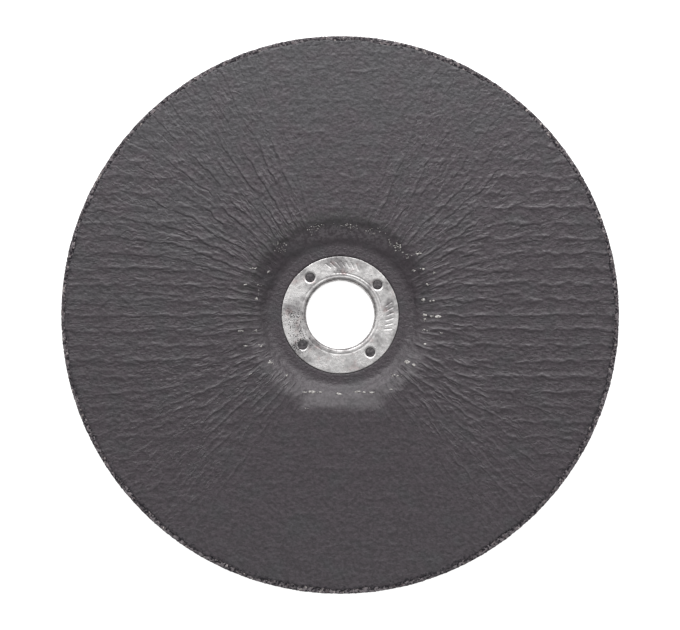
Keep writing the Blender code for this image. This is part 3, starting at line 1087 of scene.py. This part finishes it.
# Where resin bled through over a strand: x, y, spread along x and along y in mm, beads, their size
BEAD_CLUSTERS = (
    (27.0, 4.8, 0.5, 0.25, 12, 1.5), (29.8, 4.6, 1.0, 0.20, 7, 1.0),
    (27.4, 0.0, 0.6, 0.20, 10, 1.3), (29.6, -0.3, 0.6, 0.20, 7, 1.2),
    (31.7, -0.6, 0.8, 0.20, 10, 1.7), (27.3, -1.4, 0.4, 0.40, 6, 1.0),
    (27.8, -5.0, 1.0, 0.20, 7, 1.0), (33.0, -5.8, 0.6, 0.20, 4, 0.9),
    (27.5, -9.5, 0.6, 0.25, 6, 1.1), (28.4, 9.9, 0.9, 0.20, 9, 1.0),
    (30.0, 13.3, 0.4, 0.50, 4, 0.8), (26.7, 14.8, 0.8, 0.30, 6, 0.9),
    (23.8, 14.3, 0.5, 0.30, 5, 0.9), (25.4, 19.7, 1.0, 0.40, 14, 1.0),
    (21.4, 19.0, 1.2, 0.70, 16, 0.9), (18.9, 21.8, 1.1, 1.20, 30, 0.8),
    (16.0, 23.6, 0.6, 0.90, 10, 0.7), (10.5, 27.0, 2.5, 1.20, 20, 0.55),
    (3.0, 28.6, 3.0, 1.40, 38, 0.55), (-8.0, 28.2, 3.0, 1.40, 34, 0.6),
    (-19.0, 22.0, 2.2, 1.60, 28, 0.6), (-28.1, 15.0, 0.7, 0.20, 9, 1.1),
    (-23.1, 14.0, 0.4, 0.50, 7, 1.0), (-26.0, 9.7, 1.0, 0.25, 10, 0.9),
    (-30.7, 9.8, 0.6, 0.20, 4, 0.9), (-26.4, 6.6, 0.3, 1.00, 8, 0.8),
    (-27.2, 5.2, 0.5, 0.30, 12, 1.1), (-27.2, -5.1, 0.7, 0.20, 6, 0.9),
    (-32.1, -5.1, 1.3, 0.20, 8, 0.9), (-25.5, -10.0, 0.8, 0.25, 8, 1.0),
    (-30.5, -9.9, 0.8, 0.20, 5, 0.8), (-22.4, -15.3, 0.7, 0.40, 12, 1.3),
    (-17.6, -19.4, 0.5, 0.50, 9, 1.3), (-28.6, -19.1, 0.8, 0.20, 4, 0.8),
    (-11.6, -25.0, 0.5, 0.12, 6, 1.2), (-9.2, -24.9, 0.7, 0.12, 12, 1.9),
    (-6.6, -25.0, 0.6, 0.12, 6, 1.2), (-0.3, -25.7, 0.7, 0.12, 9, 1.5),
    (5.5, -24.9, 0.7, 0.12, 10, 1.7), (7.7, -25.0, 0.3, 0.12, 4, 1.3),
    (10.2, -25.1, 0.8, 0.12, 9, 1.4), (17.0, -19.5, 0.5, 0.30, 6, 1.1),
    (18.8, -19.7, 1.2, 0.30, 8, 1.0), (21.8, -15.3, 0.7, 0.40, 16, 1.9),
    (23.8, -16.2, 0.4, 0.30, 6, 1.2), (-10.9, -30.1, 0.5, 0.20, 4, 0.9),
    (16.5, -24.0, 0.4, 0.20, 4, 0.9),
)


class GRINDING_DISC_OT_bleed_resin(bpy.types.Operator):
    """Sets beads of resin that bled through the paper along the crease"""

    bl_idname = "grinding_disc.bleed_resin"
    bl_label = "Bleed Resin Beads"

    size: length("Bead Size", "Radius of a middling bead", 0.18 * MM)

    def execute(self, context):
        """Beads are low domes, scattered round the middle of each cluster."""
        chance = np.random.default_rng(71)
        clusters = np.array(BEAD_CLUSTERS)
        x, y, wide, high, beads, share = np.repeat(clusters, clusters[:, 4].astype(int), axis=0).T
        scatter = chance.normal(size=(2, len(beads))) * 0.6
        x = MM * (x + wide * scatter[0])
        y = MM * (y + high * scatter[1])
        size = self.size * share * np.clip(chance.lognormal(0, 0.4, len(beads)), 0.5, 2.0)
        radius, angle = np.hypot(x, y), np.arctan2(y, x)
        centres = spun(radius, dish(radius, angle, context.scene.disc_sizes) + 0.14 * MM, angle)
        points, faces = domes(centres, size, 0.14 * MM, 0.25 * MM, 3, 9, stretch=1.35)
        add_piece("resin_beads", points, bead_finish(), "facing_paper", faces)
        return {"FINISHED"}


# The bushing


def bushing_grid(sizes, look, columns):
    """Rows of points of the pressed sheet, from the sleeve's end over the bend to the flange and back.

    The bend's radius is larger towards the upper right: its own value times one plus a third of
    the cosine of the angle from there.
    """
    angle = round_angles(columns)[None, :]
    bore, flange, edge = sizes.arbor_bore, BUSHING_BOX[1].x, 0.14 * MM
    top, end = sizes.recess_floor, BUSHING_BOX[0].z
    under, middle = top - look.sheet, bore + look.bend_radius
    bend = look.bend_radius * (1 + 0.32 * np.cos(angle - math.radians(42)))
    start = bore + bend
    inner_bend = look.bend_radius - look.sheet

    def turning(turns, radius, height, size):
        """Rows a size away from a centre: inwards by a turn's cosine, and up by its sine."""
        return [(radius - size * math.cos(t), height + size * math.sin(t)) for t in turns]

    rows = [(bore, height) for height in np.linspace(end, top - look.bend_radius * 1.4, 9)]
    rows += turning(np.linspace(0, math.pi / 2, 16), start, top - bend, bend)
    rows += [(start + (flange - edge - start) * t, top) for t in np.linspace(0, 1, 52)[1:]]
    rows += turning(np.linspace(math.pi / 2, math.pi, 5)[1:], flange - edge, top - edge, edge)
    rows += [(radius, under) for radius in np.linspace(flange, middle, 8)]
    rows += turning(np.linspace(math.pi / 2, 0, 6)[1:], middle, under - inner_bend, inner_bend)
    rows.append((bore + look.sheet, end))
    return np.concatenate([spun(radius, height, angle) for radius, height in rows])


# Rows of punch strokes: middle angle, count, pitch, radius, half length, half width and lean
STROKE_ROWS = (
    (87, 7, 5.6, 16.5, 1.30, 0.22, 38),
    (-2, 6, 5.8, 16.2, 1.40, 0.22, 24),
    (89, 5, 4.6, 13.9, 0.45, 0.20, 0),
)


def stroke_depths(radius, angle, row):
    """Depth, 0 to 1, of a row of evenly spaced punch strokes, its angles in degrees and the rest in mm.

    A stroke leans from the radial line by the angle lean. Its depth is one less the distance
    across it over its half width, to the fourth power, less the distance along it over its half
    length, to the eighth.
    """
    middle, count, pitch, ring, half_length, half_width, lean = row
    tilt = math.radians(lean)
    outwards = radius - ring * MM
    depth = np.zeros(radius.shape)
    for i in range(count):
        at = math.radians(middle + pitch * (i - (count - 1) / 2))
        beside = np.angle(np.exp(1j * (angle - at))) * radius
        across = beside * math.cos(tilt) - outwards * math.sin(tilt)
        lengthwise = outwards * math.cos(tilt) + beside * math.sin(tilt)
        stroke = 1 - (across / (half_width * MM)) ** 4 - (lengthwise / (half_length * MM)) ** 8
        depth = np.maximum(depth, np.clip(stroke, 0, 1))
    return depth


class GRINDING_DISC_OT_stamp_bushing(bpy.types.Operator):
    """Presses the bushing: flange, bend and sleeve with four key holes and punch strokes"""

    bl_idname = "grinding_disc.stamp_bushing"
    bl_label = "Stamp Bushing"

    columns: number("Columns", "Points round", 720)

    def execute(self, context):
        """The sheet's face dips round each key hole, buckles a little, and takes the strokes.

        A faint bead runs just outside the bend, and a score runs further out at the upper right.
        """
        sizes, look = context.scene.disc_sizes, context.scene.bushing_look
        points = bushing_grid(sizes, look, self.columns)
        x, y, z = np.moveaxis(points, -1, 0)
        radius, angle = np.hypot(x, y), np.arctan2(y, x)
        face = smooth_step(sizes.recess_floor - 0.1 * MM, sizes.recess_floor, z)
        dip = np.zeros(radius.shape)
        for key_x, key_y, _ in key_centres(look, 0.0):
            away = np.hypot(x - key_x, y - key_y) - look.hole_radius
            dip = np.maximum(dip, 1 - smooth_step(-0.05 * MM, 0.5 * MM, away))
        strokes = np.maximum.reduce([stroke_depths(radius, angle, row) for row in STROKE_ROWS])
        score = bell(radius - 13.6 * MM, 0.22 * MM) * towards(angle, 50, 0.55, 0.85)
        bead = bell(radius - 12.75 * MM, 0.25 * MM)
        buckle, dents = gradient_noise(points, 6, 81), gradient_noise(points, 1.4, 82)
        sink = 0.18 * dip**1.5 + 0.08 * strokes + 0.07 * score + 0.05 * bead
        sink = sink + 0.10 * (0.5 - 0.5 * buckle) + 0.014 * dents
        points[..., 2] -= face * MM * np.clip(sink, 0, 0.25)
        marks = np.stack((strokes, dip, np.maximum(score, bead)), axis=-1) * face[..., None]
        stored, finish = {"marks": marks}, zinc_finish(look)
        bushing = add_piece("pressed_bushing", points, finish, "bushing", stored=stored)
        self.punch(bushing, key_centres(look, sizes.recess_floor + 1 * MM), look.hole_radius)
        return {"FINISHED"}

    def punch(self, bushing, centres, radius):
        """Cuts the key holes with upright cylinders, as one exact Boolean that is then applied."""
        segments = 64
        depth = 2.5 * MM
        ring = spun(radius, np.array([[0.0], [-depth]]), round_angles(segments)).reshape(-1, 3)
        points = (centres[:, None, :] + ring[None]).reshape(-1, 3)
        faces = []
        for first in range(0, len(points), len(ring)):
            upper = list(range(first, first + segments))
            lower = [i + segments for i in upper]
            sides = zip(upper, lower, lower[1:] + lower[:1], upper[1:] + upper[:1])
            faces += [upper, lower[::-1], *sides]
        cutter = bpy.data.meshes.new("key_hole_punch")
        cutter.from_pydata(points.tolist(), [], faces)
        tool = bpy.data.objects.new("key_hole_punch", cutter)
        bpy.context.scene.collection.objects.link(tool)
        cut = bushing.modifiers.new("Key Holes", "BOOLEAN")
        cut.operation = "DIFFERENCE"
        cut.solver = "EXACT"
        cut.object = tool
        bpy.context.view_layer.update()
        evaluated = bushing.evaluated_get(bpy.context.evaluated_depsgraph_get())
        mesh = bpy.data.meshes.new_from_object(evaluated)
        if len(mesh.vertices) in (0, len(bushing.data.vertices)):
            raise RuntimeError("The punch cut no key holes into the bushing")
        bushing.modifiers.clear()
        bushing.data = mesh
        mesh.name = "pressed_bushing"
        mesh.shade_smooth()
        mesh.set_sharp_from_angle(angle=math.radians(CREASE_EDGE))
        bpy.data.objects.remove(tool)


# The stage


def seen(tree):
    """1 for camera, glossy and transmission rays."""
    path = tree.node("ShaderNodeLightPath", output="Is Camera Ray")
    outputs = path.socket.node.outputs
    glossy = Signal(tree, outputs["Is Glossy Ray"])
    through = Signal(tree, outputs["Is Transmission Ray"])
    return path.most(glossy).most(through)


def either(tree, factor, first, second):
    """The first shader where the factor is 0, and the second where it is 1."""
    return tree.node("ShaderNodeMixShader", inputs={0: factor, 1: first, 2: second})


def add_object(name, data):
    """A new object in the scene."""
    thing = bpy.data.objects.new(name, data)
    bpy.context.scene.collection.objects.link(thing)
    return thing


class GRINDING_DISC_OT_set_stage(bpy.types.Operator):
    """Sets the floor, the lights and the camera"""

    bl_idname = "grinding_disc.set_stage"
    bl_label = "Set Stage"

    def execute(self, context):
        """The picture's colours are shown as they are, in the Standard view."""
        look = context.scene.stage_look
        self.add_floor(look)
        self.add_sky(context, look)
        self.add_key(look)
        self.add_camera(context, look)
        context.scene.view_settings.view_transform = "Standard"
        return {"FINISHED"}

    def add_floor(self, look):
        """A pale floor, seen as near white but for the disc's soft shadow, and clear from below."""
        half = 3.0
        mesh = bpy.data.meshes.new("floor")
        corners = [(-half, -half, 0), (half, -half, 0), (half, half, 0), (-half, half, 0)]
        mesh.from_pydata(corners, [], [(0, 1, 2, 3)])
        tree = new_finish("pale_floor")
        paint = tree.node("ShaderNodeBsdfDiffuse", inputs={"Color": (0.84, 0.84, 0.84, 1)})
        glow_inputs = {"Color": (1, 1, 1, 1), "Strength": look.floor_glow}
        glow = tree.node("ShaderNodeEmission", inputs=glow_inputs)
        lit = tree.node("ShaderNodeAddShader", inputs={0: paint, 1: glow})
        behind = tree.node("ShaderNodeNewGeometry", output="Backfacing")
        clear = tree.node("ShaderNodeBsdfTransparent")
        both = either(tree, behind, either(tree, seen(tree), paint, lit), clear)
        tree.node("ShaderNodeOutputMaterial", inputs={"Surface": both})
        mesh.materials.append(tree.owner)
        add_object("floor", mesh)

    def add_sky(self, context, look):
        """White all round where it is seen, brighter at the top in glints, and dim where it lights."""
        context.scene.world = bpy.data.worlds.new("studio")
        tree = Finish(context.scene.world)

        def white(strength):
            """A white background of a strength."""
            inputs = {"Color": (1.0, 1.0, 1.0, 1.0), "Strength": strength}
            return tree.node("ShaderNodeBackground", inputs=inputs)

        _, north, up = tree.split(tree.node("ShaderNodeTexCoord", output="Generated"))
        glints = white(0.28 + up.step(0.0, 0.5) * 0.10 + north.step(-0.22, 0.38) * 1.20)
        glossy = tree.node("ShaderNodeLightPath", output="Is Glossy Ray")
        shown = either(tree, glossy, white(1.0), glints)
        both = either(tree, seen(tree), white(look.ambient), shown)
        tree.node("ShaderNodeOutputWorld", inputs={"Surface": both})

    def add_key(self, look):
        """One wide, soft lamp, turned towards the disc."""
        lamp = bpy.data.lights.new("key", "AREA")
        lamp.energy = look.key_power
        lamp.shape = "RECTANGLE"
        lamp.size = look.key_width
        lamp.size_y = look.key_depth
        key = add_object("key", lamp)
        rise, turn = math.radians(look.key_rise), math.radians(look.key_turn)
        level = look.key_distance * math.cos(rise)
        height = look.key_distance * math.sin(rise)
        key.location = (-level * math.sin(turn), level * math.cos(turn), height)
        key.rotation_euler = (-key.location).to_track_quat("-Z", "Y").to_euler()

    def add_camera(self, context, look):
        """Straight above the disc, which is a little right of and above the picture's middle."""
        lens = bpy.data.cameras.new("camera")
        lens.lens = look.lens
        lens.sensor_width = 36
        lens.clip_start = 0.01
        lens.clip_end = 20
        camera = add_object("camera", lens)
        camera.location = (-0.045 * MM, -0.03 * MM, look.camera_height)
        context.scene.camera = camera


class GRINDING_DISC_PT_panel(bpy.types.Panel):
    """The disc's operators and settings in the sidebar"""

    bl_label = "Grinding Disc"
    bl_idname = "GRINDING_DISC_PT_panel"
    bl_space_type = "VIEW_3D"
    bl_region_type = "UI"
    bl_category = "Grinding Disc"

    def draw(self, context):
        """One button for each operator, and each group's settings."""
        for operator in OPERATORS:
            self.layout.operator(operator.bl_idname)
        for name, group in GROUPS.items():
            box = self.layout.box()
            box.label(text=name.replace("_", " ").title())
            for key in group.__annotations__:
                box.prop(getattr(context.scene, name), key)


GROUPS = {
    "disc_sizes": DiscSizes,
    "paper_look": PaperLook,
    "grain_look": GrainLook,
    "bushing_look": BushingLook,
    "stage_look": StageLook,
}
OPERATORS = (
    GRINDING_DISC_OT_mould_body,
    GRINDING_DISC_OT_press_paper,
    GRINDING_DISC_OT_bleed_resin,
    GRINDING_DISC_OT_stamp_bushing,
    GRINDING_DISC_OT_set_stage,
)
CLASSES = (*GROUPS.values(), *OPERATORS, GRINDING_DISC_PT_panel)


def register():
    """Adds the classes and the scene's groups of settings."""
    for each in CLASSES:
        bpy.utils.register_class(each)
    for name, group in GROUPS.items():
        setattr(bpy.types.Scene, name, bpy.props.PointerProperty(type=group))


def unregister():
    """Takes them away again."""
    for name in GROUPS:
        delattr(bpy.types.Scene, name)
    for each in reversed(CLASSES):
        bpy.utils.unregister_class(each)


def main():
    """Makes every piece and the stage."""
    register()
    bpy.ops.grinding_disc.mould_body()
    bpy.ops.grinding_disc.press_paper()
    bpy.ops.grinding_disc.bleed_resin()
    bpy.ops.grinding_disc.stamp_bushing()
    bpy.ops.grinding_disc.set_stage()
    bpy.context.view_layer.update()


if __name__ == "__main__":
    main()
